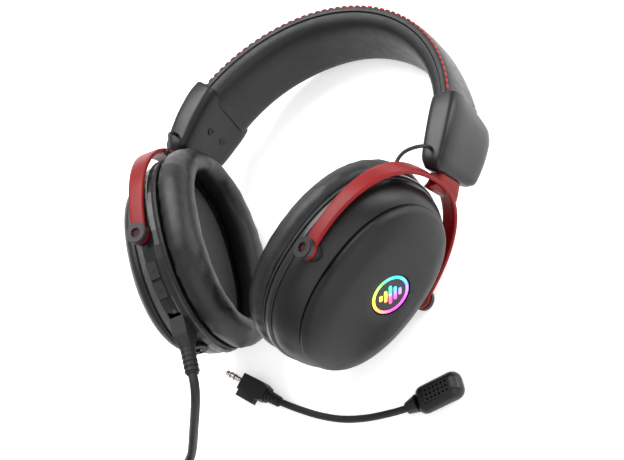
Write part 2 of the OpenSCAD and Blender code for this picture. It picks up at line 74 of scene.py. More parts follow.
EMBLEM_R = 10.8
EMBLEM_AT = (0.0, 1.4, 3.0)
EMBLEM_TURN = 45.0
ARM_Y, YOKE_Z = 43.5, 55.5
ARM_W, CROWN_W, HOOP_T, HOOP_N = 7.6, 11.5, 2.4, 2.3
LUG_IN, LUG_OUT, DISC_OUT = 42.2, 44.8, 47.4
CORD_D = 0.0046
BOOM_D = 3.6

MM = 0.001


def scaled(m):
    """A frame whose points are in millimetres, as a matrix that gives metres."""
    s = np.diag([MM, MM, MM, 1.0])
    return s @ m


def turn(axis, degrees):
    return np.array(Matrix.Rotation(math.radians(degrees), 4, axis))


def shift(x, y, z):
    m = np.eye(4)
    m[:3, 3] = (x, y, z)
    return m


LAY = shift(LAY_X, LAY_Y, REST_H) @ turn("X", REST_TILT - 90)
SIDE = {"left": np.diag([-1.0, 1, 1, 1]), "right": np.eye(4)}
DESK = scaled(shift(LAY_X, LAY_Y, 0))
BAND = scaled(LAY @ turn("X", -BAND_PITCH))


def worn(side):
    return scaled(LAY @ SIDE[side])


def pivot_frame(side, lean=CUP_LEAN):
    return scaled(LAY @ SIDE[side] @ shift(PIVOT_X, 0, 0) @ turn("Z", -CUP_TURN) @ turn("Y", lean))


def cup_frame(side):
    return pivot_frame(side) @ turn("X", -OVAL_ROLL) @ shift(*OVAL_SHIFT)


def yoke_frame(side):
    return pivot_frame(side, YOKE_LEAN)


def placed(points, where):
    p = np.asarray(points, float).reshape(-1, 3)
    return p @ where[:3, :3].T + where[:3, 3]


# ---------------------------------------------------------------- camera and cord

CAMERA_AT = Vector((0.64037, -0.28442, 0.87712))
CAMERA_RIGHT = Vector((0.80838, 0.25393, -0.53108))
CAMERA_BACK = Vector((0.58497, -0.24567, 0.77295))
CAMERA_LENS = 127.3


def make_camera():
    back = CAMERA_BACK.normalized()
    right = (CAMERA_RIGHT - CAMERA_RIGHT.dot(back) * back).normalized()
    up = back.cross(right)
    data = bpy.data.cameras.new("camera")
    data.lens = CAMERA_LENS
    data.sensor_width = 36
    data.clip_start = 0.01
    camera = bpy.data.objects.new("camera", data)
    bpy.context.scene.collection.objects.link(camera)
    m = Matrix((right, up, back)).transposed().to_4x4()
    m.translation = CAMERA_AT
    camera.matrix_world = m
    bpy.context.scene.camera = camera


make_camera()

# The lead's route, as in the part, in millimetres on the desk before the assembly is centred
CORD_ROUTE = [
    (-23.7, -48.7, 66.2), (-19.8, -55.7, 65.6), (-15.9, -62.7, 65), (-13.4, -68.2, 64), (-13.6, -73.6, 60.6),
    (-17.2, -79, 53.6), (-22.3, -83.2, 45.4), (-28.4, -86.8, 36), (-35, -90, 26.2), (-42, -93.2, 16.6),
    (-49.5, -97, 8.8), (-57, -101.8, 4.4), (-65.5, -107.8, 2.7), (-75.8, -114.6, 2.4),
]
PLUG_ROUTE = [
    (-54, -169, 16.4), (-48, -168.8, 15.6), (-41, -168, 13), (-34, -166.6, 9.4), (-27, -164.4, 6.4),
    (-20, -161.6, 4.8), (-14, -159, 4.6), (-9.5, -157, 4.6),
]
COIL_AT = (-60.0, -142.0)
COIL_MEAN_R = 27.0
COIL_PITCH = 4.65
COIL_FLOOR = 2.4
COIL_START, COIL_END = 120.0, 265.0
COIL_TURNS = 10
STEPS_PER_TURN = 20


def coil_points():
    """Turns that run in and out across three rows, then up a layer."""
    rows = [1, 0, -1, -1, 0, 1, 1, 0, -1, -1, 0, 0]
    layers = [0, 0, 0, 1, 1, 1, 2, 2, 2, 3, 3, 3]
    total = COIL_TURNS + (COIL_END - COIL_START) / 360
    count = int(total * STEPS_PER_TURN)
    points = []
    for i in range(count + 1):
        turns = total * i / count
        k = int(turns)
        f = turns - k
        ease = max(0.0, (f - 0.8) / 0.2)
        ease = ease * ease * (3 - 2 * ease)
        row = rows[k] + (rows[min(k + 1, 11)] - rows[k]) * ease
        layer = layers[k] + (layers[min(k + 1, 11)] - layers[k]) * ease
        r = COIL_MEAN_R + row * COIL_PITCH
        a = math.radians(COIL_START + 360 * turns)
        points.append((COIL_AT[0] + r * math.cos(a), COIL_AT[1] + r * math.sin(a),
                       COIL_FLOOR + layer * COIL_PITCH))
    return points


def smooth_path(points, spacing=1.5):
    """Even points along a Catmull-Rom curve through the given ones."""
    p = np.asarray(points, float)
    p = np.vstack([2 * p[0] - p[1], p, 2 * p[-1] - p[-2]])
    out = []
    for i in range(1, len(p) - 2):
        a, b, c, d = p[i - 1:i + 3]
        n = max(2, int(np.linalg.norm(c - b) / spacing))
        t = (np.arange(n) / n)[:, None]
        out.append(0.5 * (2 * b + (c - a) * t + (2 * a - 5 * b + 4 * c - d) * t ** 2
                          + (3 * b - a - 3 * c + d) * t ** 3))
    out.append(p[-2:-1])
    return np.vstack(out)


# ---------------------------------------------------------------- meshes


def add_mesh(name, points, faces, where, smooth=40):
    """A mesh object with its points in the row frame, faces outward, and edges sharper than smooth kept."""
    p = placed(points, where)
    if np.linalg.det(where[:3, :3]) < 0:
        faces = [tuple(reversed(f)) for f in faces]
    mesh = bpy.data.meshes.new(name)
    mesh.from_pydata([tuple(v) for v in p], [], [tuple(f) for f in faces])
    mesh.update()
    mesh.shade_smooth()
    mesh.set_sharp_from_angle(angle=math.radians(smooth))
    obj = bpy.data.objects.new(name, mesh)
    bpy.context.scene.collection.objects.link(obj)
    return obj


def skin_faces(m, n, closed=False, capped=True):
    faces = []
    for j in range(m if closed else m - 1):
        a, b = j * n, ((j + 1) % m) * n
        faces += [(a + i, a + (i + 1) % n, b + (i + 1) % n, b + i) for i in range(n)]
    if not closed and capped:
        faces.append(tuple(range(n - 1, -1, -1)))
        faces.append(tuple((m - 1) * n + i for i in range(n)))
    return faces


def oval(a, b, n=OVAL_N, count=128):
    t = 2 * np.pi * np.arange(count) / count
    c, s = np.cos(t), np.sin(t)
    return np.stack([a * np.sign(c) * np.abs(c) ** (2 / n), b * np.sign(s) * np.abs(s) ** (2 / n)], 1)


def rounded(profile, radius, steps=5, closed=False):
    """The profile with its corners filleted. radius is one number or one for each corner."""
    p = np.asarray(profile, float)
    n = len(p)
    radii = np.broadcast_to(np.asarray(radius, float), (n,))
    out = []
    for i in range(n):
        if not closed and i in (0, n - 1):
            out.append(p[i])
            continue
        a, b, c = p[i - 1], p[i], p[(i + 1) % n]
        la, lc = np.linalg.norm(a - b), np.linalg.norm(c - b)
        r = min(radii[i], 0.48 * la, 0.48 * lc)
        if r < 1e-3:
            out.append(b)
            continue
        s, e = b + (a - b) * r / la, b + (c - b) * r / lc
        for t in np.linspace(0, 1, steps):
            out.append((1 - t) ** 2 * s + 2 * t * (1 - t) * b + t * t * e)
    return np.array(out)


def oval_loft(name, profile, side, closed, smooth=40, count=128):
    rings = []
    for x, a, b in profile:
        ring = oval(a, b, count=count)
        rings.append(np.column_stack([np.full(count, x), ring]))
    return add_mesh(name, np.vstack(rings), skin_faces(len(rings), count, closed), cup_frame(side), smooth)


def tube(name, path, radius, where=None, sides=16, smooth=60):
    """A round tube along points. radius is a number or one for each point."""
    p = np.asarray(path, float)
    r = np.broadcast_to(np.asarray(radius, float), (len(p),))
    t = np.gradient(p, axis=0)
    t /= np.linalg.norm(t, axis=1)[:, None]
    u = np.cross(t[0], (0.3, 0.5, 0.81))
    rings = []
    a = 2 * np.pi * np.arange(sides) / sides
    for i in range(len(p)):
        u = u - t[i] * (u @ t[i])
        u /= np.linalg.norm(u)
        v = np.cross(t[i], u)
        rings.append(p[i] + r[i] * (np.cos(a)[:, None] * u + np.sin(a)[:, None] * v))
    return add_mesh(name, np.vstack(rings), skin_faces(len(rings), sides), DESK if where is None else where,
                    smooth)


def join(objects, name):
    mesh = bpy.data.meshes.new(name)
    bm = bmesh.new()
    for o in objects:
        bm.from_mesh(o.data)
    bm.to_mesh(mesh)
    bm.free()
    for o in objects:
        bpy.data.objects.remove(o)
    obj = bpy.data.objects.new(name, mesh)
    bpy.context.scene.collection.objects.link(obj)
    return obj


# ---------------------------------------------------------------- materials


class Graph:
    """A short way to write a node material: add nodes, join sockets."""

    def __init__(self, name):
        self.material = bpy.data.materials.new(name)
        self.material.use_nodes = True
        self.tree = self.material.node_tree
        self.shader = self.tree.nodes["Principled BSDF"]

    def add(self, kind, **inputs):
        node = self.tree.nodes.new(kind)
        for key, value in inputs.items():
            self.set(node, key, value)
        return node

    def set(self, node, key, value):
        socket = node.inputs[key.replace("_", " ")]
        if isinstance(value, bpy.types.NodeSocket):
            self.tree.links.new(value, socket)
        else:
            socket.default_value = value

    def point(self):
        return self.add("ShaderNodeTexCoord").outputs["Object"]

    def noise(self, scale, detail=3.0, rough=0.5):
        return self.add("ShaderNodeTexNoise", Vector=self.point(), Scale=scale, Detail=detail,
                        Roughness=rough).outputs["Fac"]

    def voronoi(self, scale, feature="F1"):
        node = self.add("ShaderNodeTexVoronoi", Vector=self.point(), Scale=scale)
        node.feature = feature
        return node.outputs["Distance"]

    def ramp(self, fac, stops):
        node = self.add("ShaderNodeValToRGB", Fac=fac)
        e = node.color_ramp.elements
        while len(e) < len(stops):
            e.new(0.5)
        for element, (at, colour) in zip(e, stops):
            element.position = at
            element.color = (*colour, 1) if len(colour) == 3 else colour
        return node.outputs["Color"]

    def fit(self, value, low, high, to_low, to_high):
        node = self.tree.nodes.new("ShaderNodeMapRange")
        for i, v in enumerate((low, high, to_low, to_high)):
            node.inputs[1 + i].default_value = v
        self.tree.links.new(value, node.inputs[0])
        return node.outputs[0]

    def maths(self, what, a, b):
        node = self.tree.nodes.new("ShaderNodeMath")
        node.operation = what
        for i, v in enumerate((a, b)):
            if isinstance(v, bpy.types.NodeSocket):
                self.tree.links.new(v, node.inputs[i])
            else:
                node.inputs[i].default_value = v
        return node.outputs[0]

    def bump(self, height, strength, distance, normal=None):
        node = self.add("ShaderNodeBump", Height=height, Strength=strength, Distance=distance)
        if normal is not None:
            self.set(node, "Normal", normal)
        return node.outputs["Normal"]

    def finish(self, **inputs):
        for key, value in inputs.items():
            self.set(self.shader, key, value)
        return self.material


def shades(colour, spread):
    """Two shades either side of a colour."""
    return [tuple(c * (1 - spread) for c in colour), tuple(min(1, c * (1 + spread)) for c in colour)]


def leatherette(name, colour, rough, grain=1500, depth=0.00012):
    g = Graph(name)
    low, high = shades(colour, 0.22)
    tone = g.ramp(g.noise(60, 4), [(0.3, low), (0.7, high)])
    cells = g.voronoi(grain, "DISTANCE_TO_EDGE")
    pores = g.fit(cells, 0.0, 0.18, 0.0, 1.0)
    creases = g.bump(g.noise(160, 5), 0.12, 0.0012)
    normal = g.bump(pores, 0.35, depth, creases)
    gloss = g.fit(g.noise(220, 2), 0.3, 0.7, rough - 0.05, rough + 0.07)
    return g.finish(Base_Color=tone, Roughness=gloss, Normal=normal, Specular_IOR_Level=0.34,
                    Coat_Weight=0.06, Coat_Roughness=0.4)


def plastic(name, colour, rough, grain=3200, depth=0.00005, strength=0.25, coat=0.0):
    g = Graph(name)
    low, high = shades(colour, 0.15)
    tone = g.ramp(g.noise(45, 3), [(0.3, low), (0.7, high)])
    normal = g.bump(g.noise(grain, 2), strength, depth)
    gloss = g.fit(g.noise(120, 4), 0.3, 0.7, rough - 0.04, rough + 0.05)
    return g.finish(Base_Color=tone, Roughness=gloss, Normal=normal, Specular_IOR_Level=0.34,
                    Coat_Weight=coat, Coat_Roughness=0.25)


def painted(name, colour, rough):
    g = Graph(name)
    low, high = shades(colour, 0.12)
    tone = g.ramp(g.noise(70, 4), [(0.3, low), (0.7, high)])
    flake = g.bump(g.noise(5200, 2), 0.2, 0.00004)
    gloss = g.fit(g.noise(150, 4), 0.3, 0.7, rough - 0.05, rough + 0.06)
    return g.finish(Base_Color=tone, Roughness=gloss, Normal=flake, Metallic=0.0, Coat_Weight=0.05,
                    Specular_IOR_Level=0.2,
                    Coat_Roughness=0.3)


def metal(name, colour, rough):
    g = Graph(name)
    low, high = shades(colour, 0.08)
    tone = g.ramp(g.noise(500, 4), [(0.3, low), (0.7, high)])
    gloss = g.fit(g.noise(900, 3), 0.3, 0.7, rough - 0.08, rough + 0.08)
    normal = g.bump(g.noise(4200, 2), 0.15, 0.00003)
    return g.finish(Base_Color=tone, Roughness=gloss, Metallic=1.0, Normal=normal)


def weave(name, colour, pitch, rough=0.85):
    """Cloth or mesh: two crossed sine ripples, with painted shade darkening their dips and lighter colour
    painted on their crests.
    """
    g = Graph(name)
    split = g.add("ShaderNodeSeparateXYZ", Vector=g.point())
    k = 2 * math.pi / pitch
    y = g.maths("SINE", g.maths("MULTIPLY", split.outputs["Y"], k), 0)
    z = g.maths("SINE", g.maths("MULTIPLY", split.outputs["Z"], k), 0)
    height = g.fit(g.maths("MULTIPLY", y, z), -1, 1, 0, 1)
    # Painted shade: the colour is darker in the ripples' dips and lighter on their crests.
    low, high = shades(colour, 0.5)
    tone = g.ramp(height, [(0.2, low), (0.8, high)])
    return g.finish(Base_Color=tone, Roughness=rough, Normal=g.bump(height, 0.6, 0.0003), Sheen_Weight=0.2)


def rainbow(name, strength, centre, y_axis, z_axis):
    """Light that changes colour round a centre, in the plane of the two axes."""
    g = Graph(name)
    away = g.add("ShaderNodeVectorMath")
    away.operation = "SUBTRACT"
    g.tree.links.new(g.point(), away.inputs[0])
    away.inputs[1].default_value = centre
    sides = []
    for axis in (y_axis, z_axis):
        dot = g.add("ShaderNodeVectorMath")
        dot.operation = "DOT_PRODUCT"
        g.tree.links.new(away.outputs[0], dot.inputs[0])
        dot.inputs[1].default_value = axis
        sides.append(dot.outputs["Value"])
    angle = g.fit(g.maths("ARCTAN2", sides[0], sides[1]), -math.pi, math.pi, 0, 1)
    tone = g.ramp(angle, [
        (0.0, (1.0, 0.05, 0.35)), (0.14, (1.0, 0.25, 0.05)), (0.28, (0.85, 0.8, 0.03)),
        (0.42, (0.1, 0.85, 0.12)), (0.56, (0.02, 0.7, 0.9)), (0.7, (0.1, 0.2, 1.0)),
        (0.85, (0.75, 0.06, 0.95)), (1.0, (1.0, 0.05, 0.35)),
    ])
    return g.finish(Base_Color=tone, Emission_Color=tone, Emission_Strength=strength, Roughness=0.3)


M = {
    "band": leatherette("band_leatherette", (0.008, 0.008, 0.009), 0.36, grain=1500),
    "pad": leatherette("pad_leatherette", (0.009, 0.009, 0.010), 0.42, grain=1300),
    "cushion": leatherette("cushion_leatherette", (0.007, 0.007, 0.008), 0.38, grain=1250, depth=0.0001),
    "shell": plastic("shell_plastic", (0.006, 0.006, 0.007), 0.36),
    "cap": plastic("cap_plastic", (0.0045, 0.0045, 0.005), 0.44, grain=3800, depth=0.00007, strength=0.4),
    "end_cap": plastic("end_cap_plastic", (0.007, 0.007, 0.008), 0.34),
    "trim": plastic("trim_plastic", (0.008, 0.008, 0.009), 0.3, coat=0.2),
    "dark": plastic("dark_plastic", (0.006, 0.006, 0.007), 0.55),
    "button": plastic("button_plastic", (0.02, 0.02, 0.022), 0.42),
    "disc": plastic("disc_plastic", (0.014, 0.014, 0.016), 0.35, coat=0.15),
    "red": painted("yoke_paint", (0.19, 0.002, 0.003), 0.42),
    "red_dark": painted("recess_paint", (0.035, 0.0008, 0.001), 0.5),
    "thread": weave("red_thread", (0.36, 0.008, 0.01), 0.0006),
    "steel": metal("steel", (0.5, 0.5, 0.52), 0.35),
    "nickel": metal("nickel", (0.72, 0.71, 0.69), 0.22),
    "insulator": plastic("insulator", (0.18, 0.06, 0.045), 0.35),
    "rubber": plastic("rubber", (0.0105, 0.0105, 0.0115), 0.55, grain=2400, depth=0.00008, strength=0.4),
    "wire": plastic("wire_rubber", (0.008, 0.008, 0.009), 0.4),
    "mesh": weave("speaker_mesh", (0.012, 0.012, 0.014), 0.0011),
    "board": plastic("solder_mask", (0.01, 0.08, 0.03), 0.3, coat=0.3),
    "film": plastic("film", (0.3, 0.2, 0.08), 0.25, coat=0.4),
}


def finish_piece(obj, material, body, slot, *nodes):
    """Gives a piece its material and body, and hides the CAD nodes it stands for."""
    obj.data.materials.clear()
    obj.data.materials.append(M[material] if isinstance(material, str) else material)
    if nodes:
        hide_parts(*nodes)
    if body:
        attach(obj, body)
    return obj


def repaint(node, material, bevel=0.0):
    """A better material and softened edges on a CAD node that stays as it is."""
    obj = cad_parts[node]
    for s in obj.material_slots:
        s.link = "OBJECT"
        s.material = M[material] if isinstance(material, str) else material
    if bevel:
        m = obj.modifiers.new("soft_edges", "BEVEL")
        m.width = bevel
        m.segments = 2
        m.limit_method = "ANGLE"
        m.angle_limit = math.radians(35)


# ---------------------------------------------------------------- the lead

lead_path = np.vstack([
    smooth_path(CORD_ROUTE + coil_points()[:1])[:-1],
    smooth_path(coil_points()),
    smooth_path(coil_points()[-1:] + PLUG_ROUTE)[1:],
])
lead = tube("lead", lead_path, CORD_D / MM / 2, sides=12)
finish_piece(lead, "rubber", "left_cup", "lead_rubber", "cord", "cord_coil")

# ---------------------------------------------------------------- headband


def arch_points(t, r):
    """Points at angle t from the crown, in degrees, and r outside the stitched edge."""
    a = np.radians(t)
    nx, nz = BAND_HALF_H * np.sin(a), BAND_HALF_W * np.cos(a)
    n = np.hypot(nx, nz)
    return (BAND_HALF_W * np.sin(a) + r * nx / n, BAND_CENTRE_Z + BAND_HALF_H * np.cos(a) + r * nz / n)


def arch(name, section, end, stations=150, swell=None, smooth=45):
    """A section of (y, r) points swept over the head. swell(t, y, r) moves r."""
    rings = []
    for t in np.linspace(-end, end, stations):
        y, r = section[:, 0], section[:, 1].copy()
        if swell is not None:
            r = swell(t, y, r)
        x, z = arch_points(t, r)
        rings.append(np.column_stack([x, y, z]))
    return add_mesh(name, np.vstack(rings), skin_faces(stations, len(section)), BAND, smooth)


half_w = BAND_W / 2
SEAM_IN = 2.1


def cover_section():
    """Crowned cover with a sewn edge: base, rolled side, a groove under the thread, then the padding."""
    crown = [(y, BAND_CROWN * (1 - (abs(y) / (half_w - SEAM_IN)) ** 2.4) ** 0.6)
             for y in np.linspace(half_w - SEAM_IN, -(half_w - SEAM_IN), 33)]
    edge = [(half_w - 1.2, COVER_BASE), (half_w - 0.2, COVER_BASE + 0.5), (half_w, COVER_BASE + 1.6),
            (half_w, -0.9), (half_w - 0.3, -0.1), (half_w - 0.9, 0.3), (half_w - 1.7, 0.2)]
    far = [(-y, r) for y, r in reversed(edge)]
    return np.array(edge + crown + far)


def cover_swell(t, y, r):
    """Soft unevenness of padding pulled over a band."""
    inside = np.clip(1 - (np.abs(y) / (half_w - SEAM_IN)) ** 2, 0, 1)
    ripple = 0.16 * np.sin(math.radians(t) * 11 + y * 0.16) + 0.1 * np.sin(math.radians(t) * 23 - y * 0.25)
    return r + np.where(r > 0, inside * (ripple - 0.2), 0)


cover = arch("band_cover", cover_section(), BAND_END, swell=cover_swell)
finish_piece(cover, "band", "headband", "band_leather", "headband_cover")

pad_w = half_w - 1


def pad_section():
    inner = [(y, PAD_TOP + 0.6 - (PAD_SWELL + 0.6) * (1 - (abs(y) / pad_w) ** 4) ** 0.45)
             for y in np.linspace(-pad_w, pad_w, 37)]
    return np.array([(pad_w, PAD_TOP + 0.9), (-pad_w, PAD_TOP + 0.9)] + inner)


def pad_swell(t, y, r):
    ripple = 0.14 * np.sin(math.radians(t) * 9 + 1 + y * 0.12)
    return r + np.where(r < PAD_TOP - 1, ripple, 0)


pad = arch("band_pad", pad_section(), BAND_END, swell=pad_swell)
finish_piece(pad, "pad", "headband", "band_leather", "headband_pad")


def stitches(name, y, r, end, pitch=4.0, length=3.0, radius=0.55):
    """A row of thread stitches along the band at (y, r)."""
    arc = [np.array(arch_points(t, r)) for t in np.linspace(-end, end, 1200)]
    arc = np.array([(x, y, z) for x, z in arc])
    s = np.concatenate([[0], np.cumsum(np.linalg.norm(np.diff(arc, axis=0), axis=1))])
    points, faces = [], []
    shape = [(-0.5, 0.25), (-0.42, 0.8), (-0.2, 1), (0.2, 1), (0.42, 0.8), (0.5, 0.25)]
    sides = 8
    for k in range(int(s[-1] / pitch)):
        mid = (k + 0.5) * pitch
        base = len(points)
        for f, w in shape:
            at = np.array([np.interp(mid + f * length, s, arc[:, i]) for i in range(3)])
            ahead = np.array([np.interp(mid + f * length + 0.2, s, arc[:, i]) for i in range(3)]) - at
            ahead /= np.linalg.norm(ahead)
            out = np.cross((0, -1, 0), ahead)
            dip = -0.3 * radius * (2 * f) ** 2
            for q in range(sides):
                a = 2 * math.pi * q / sides
                across = np.array((0, radius * w * math.cos(a), 0))
                points.append(at + out * (dip + radius * w * math.sin(a)) + across)
        faces += [tuple(base + v for v in f) for f in skin_faces(len(shape), sides)]
    return add_mesh(name, points, faces, BAND, 80)


for side_name, s in (("rear", -1), ("front", 1)):
    row = stitches(f"band_stitches_{side_name}", s * (half_w - 0.75), 0.5, BAND_END - 1.5)
    finish_piece(row, "thread", "headband", "red_frame")

# ---------------------------------------------------------------- end caps

END_LEVELS = [
    # middle, half thickness, half width, pitch, lean
    ((73.4, 24.4, 88.4), 8, 20.6, -BAND_PITCH, -20),
    ((75.2, 22.6, 82), 8.6, 21, -14, -14),
    ((77, 19.8, 72), 8.4, 20.4, -10, -6),
    ((78, 17.6, 63), 7.9, 19.2, -6, 0),
    ((78.6, 16.2, 57.6), 7.2, 18, -3, 3),
    ((78.8, 15.4, 54.6), 5.4, 15.4, 0, 4),
]


def end_level(level, count=64, shrink=0.0):
    c, h, w, pitch, lean = level
    ring = oval(h - shrink, w - shrink, 4.5, count)
    p = np.column_stack([ring[:, 0], -ring[:, 1], np.zeros(count)])
    p = p @ turn("Y", lean)[:3, :3].T @ turn("X", pitch)[:3, :3].T
    return p + np.array(c)


def between_levels(levels, cuts=4):
    """Levels filled in along a smooth curve."""
    flat = np.array([[*c, h, w, p, q] for c, h, w, p, q in levels], float)
    flat = np.vstack([2 * flat[0] - flat[1], flat, 2 * flat[-1] - flat[-2]])
    out = []
    for i in range(1, len(flat) - 2):
        a, b, c, d = flat[i - 1:i + 3]
        for k in range(cuts):
            t = k / cuts
            out.append(0.5 * (2 * b + (c - a) * t + (2 * a - 5 * b + 4 * c - d) * t * t
                              + (3 * b - a - 3 * c + d) * t ** 3))
    out.append(flat[-2])
    return [(tuple(v[:3]), *v[3:]) for v in out]


def end_cap(side):
    levels = between_levels(END_LEVELS)
    first_step = np.array(levels[1][0]) - np.array(levels[0][0])
    rings = [
        end_level(levels[0], shrink=1.6), end_level(levels[0], shrink=0.5),
        end_level(levels[0]) + first_step * 0.4,
    ]
    rings += [end_level(v) for v in levels[1:]]
    last = levels[-1]
    drop = np.array([0.1, -0.3, -0.5])
    rings.append(end_level(last, shrink=0.9) + drop)
    rings.append(end_level(last, shrink=2.2) + drop * 1.6)
    rings.append(end_level(last, shrink=4.0) + drop * 1.7)
    obj = add_mesh(f"{side}_end_cap_shell", np.vstack(rings), skin_faces(len(rings), 64), worn(side), 32)
    return finish_piece(obj, "end_cap", "headband", "black_plastic", f"{side}_end_cap")


for side in ("left", "right"):
    end_cap(side)
    repaint(f"{side}_end_plate", "dark", 0.0003)
repaint("end_screws", "dark", 0.0001)

# ---------------------------------------------------------------- yokes


# The flare from a yoke up to its slider: height, half thickness, half width, distance from the middle
STEM_LEVELS = [
    (45.4, 2.2, 13.5, 78), (47.4, 3.4, 11.4, 78.6), (49.6, 3.9, 9.9, 79), (53.4, 3.9, 9.5, 79),
]
STEM_Y = 14.0


def yoke(side):
    rings = []
    for t in np.linspace(180, 0, 97):
        a = math.radians(t)
        cs, sn = math.cos(a), max(0.0, math.sin(a))
        c = np.array([ARM_Y * math.copysign(abs(cs) ** (2 / HOOP_N), cs), YOKE_Z * sn ** (2 / HOOP_N)])
        u = c / np.array([ARM_Y, YOKE_Z])
        n = np.sign(u) * np.abs(u) ** (HOOP_N - 1) / np.array([ARM_Y, YOKE_Z])
        n /= np.linalg.norm(n)
        w = (ARM_W + (CROWN_W - ARM_W) * math.sin(a) ** 2) / 2
        sec = oval(HOOP_T / 2, w, 5, 28)
        rings.append(np.array([(q, *(c + p * n)) for p, q in sec]))
    hoop = add_mesh("hoop", np.vstack(rings), skin_faces(len(rings), 28), yoke_frame(side), 45)
    pieces = [hoop]
    for s in (-1, 1):
        profile = rounded([(0, LUG_IN), (5, LUG_IN), (5, LUG_OUT - 0.1), (0, LUG_OUT - 0.1)], 0.5)
        lug = []
        ang = 2 * np.pi * np.arange(48) / 48
        for r, y in profile:
            lug.append(np.column_stack([r * np.cos(ang), np.full(48, s * y), r * np.sin(ang) * s]))
        pieces.append(add_mesh("lug", np.vstack(lug[::-1]), skin_faces(len(lug), 48), yoke_frame(side), 45))
    stem = []
    for z, hx, hy, x in STEM_LEVELS:
        ring = oval(hx, hy, 5, 32)
        stem.append(np.column_stack([x + ring[:, 0], STEM_Y + ring[:, 1], np.full(32, z)]))
    pieces.append(add_mesh("stem", np.vstack(stem), skin_faces(len(stem), 32), worn(side), 45))
    obj = join(pieces, f"{side}_yoke_arm")
    return finish_piece(obj, "red", f"{side}_yoke_frame", "red_frame", f"{side}_yoke")


def recess(side):
    """The dark red star sunk in each pivot disc."""
    ang = 2 * np.pi * np.arange(40) / 40
    pieces = []
    for s in (-1, 1):
        rings = [np.column_stack([r * np.cos(ang), np.full(40, s * y), s * r * np.sin(ang)])
                 for y, r in [(DISC_OUT - 1.35, 3.1), (DISC_OUT - 1.05, 3.1)]]
        pieces.append(add_mesh("star", np.vstack(rings), skin_faces(2, 40), yoke_frame(side), 40))
    finish_piece(join(pieces, f"{side}_disc_recess"), "red_dark", f"{side}_yoke_frame", "red_frame")


for side in ("left", "right"):
    yoke(side)
    recess(side)
    repaint(f"{side}_slider_bar", "steel", 0.0002)
    repaint(f"{side}_pivot_pins", "steel", 0.0002)
    repaint(f"{side}_pivot_discs", "disc", 0.0003)

LINK_ROUTE = [
    (77.8, -1.6, 63.6), (77.2, -6, 63.2), (75, -10.6, 61), (71.4, -13.6, 57.4), (69.4, -14.8, 52.6),
    (70.4, -15.6, 48.4),
]


def link_wire(side):
    """The wire in two lengths that meet, one over the slider's joint and one over the cup's."""
    path = smooth_path(LINK_ROUTE, 0.8)
    middle = len(path) // 2
    where = worn(side)
    spans = (("upper", path[:middle + 1], "headband", f"{side}_yoke_frame"),
             ("lower", path[middle:], f"{side}_yoke_frame", f"{side}_cup"))
    for part, points, first, second in spans:
        obj = tube(f"{side}_link_{part}", points, 0.95, where, 12)
        obj.data.materials.append(M["wire"])
        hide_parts(f"{side}_link_wire")
        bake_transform(obj)


for side in ("left", "right"):
    link_wire(side)

# ---------------------------------------------------------------- cups


def outer_cap(side):
    top = CAP_OUT
    outside = [
        (SHELL_OUT + 0.4, 30.2, 43), (SHELL_OUT + 0.4, 32.8, 45.6), (SHELL_OUT + 2.2, 33.2, 46),
        (SHELL_OUT + 5, 31.9, 44.3), (SHELL_OUT + 7.6, 28.6, 40.2), (top - 1.6, 23.6, 33.7),
        (top - 0.5, 17.6, 24.5), (top, 13, 15.4),
    ]
    body = rounded(outside, [0, 0.8, 1.6, 3, 4, 5, 4, 0], 7)
    rings = []
    for x, a, b in body:
        rings.append(np.column_stack([np.full(128, x), oval(a, b)]))
    middle = np.array([0, EMBLEM_AT[1], EMBLEM_AT[2]])
    for x, r in [(top - 0.02, EMBLEM_R + 0.45), (top - 0.12, EMBLEM_R + 0.3), (top - 2.6, EMBLEM_R + 0.3)]:
        rings.append(np.column_stack([np.full(128, x), oval(r, r, 2)]) + middle)
    inner = [(top - 4.2, 19, 26.5), (top - 7.6, 27, 38), (SHELL_OUT + 0.5, 30.2, 43)]
    rings.append(np.column_stack([np.full(128, top - 2.7), oval(EMBLEM_R + 1.2, EMBLEM_R + 1.2, 2)]) + middle)
    for x, a, b in inner:
        rings.append(np.column_stack([np.full(128, x), oval(a, b)]))
    obj = add_mesh(f"{side}_cap_shell", np.vstack(rings), skin_faces(len(rings), 128, closed=True),
                   cup_frame(side), 50)
    return finish_piece(obj, "cap", f"{side}_cup", "black_plastic", f"{side}_outer_cap")


def shell(side):
    outside = [(SHELL_IN, 40.9, 50.9), (-2, 40.5, 50.6), (2, 38.7, 49.4), (5.5, 35.9, 47.6),
               (SHELL_OUT, 33.2, 45.5), (SHELL_OUT, 30.2, 42.7), (5, 33.1, 45), (1, 36.2, 47),
               (-2, 38.2, 48.2), (SHELL_IN, 38.6, 48.6)]
    profile = rounded(outside, [0.3, 3, 3, 3, 0.8, 0.3, 0, 0, 0, 0.2], 6, closed=True)
    obj = oval_loft(f"{side}_shell_body", profile, side, True, 50)
    pieces = [obj]
    for s in (-1, 1):
        ang = 2 * np.pi * np.arange(40) / 40
        lug = [np.column_stack([r * np.cos(ang), np.full(40, s * y), s * r * np.sin(ang)])
               for y, r in [(41.7, 2.05), (41.7, 4.7), (41.4, 5), (36.4, 5)]]
        pieces.append(add_mesh("boss", np.vstack(lug), skin_faces(len(lug), 40), pivot_frame(side), 40))
    return join(pieces, f"{side}_cup_shell")


def smooth_cad(node, material):
    """The CAD node stays, for the openings cut in it, with smooth shading."""
    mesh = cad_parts[node].data
    mesh.shade_smooth()
    mesh.set_sharp_from_angle(angle=math.radians(32))
    repaint(node, material)


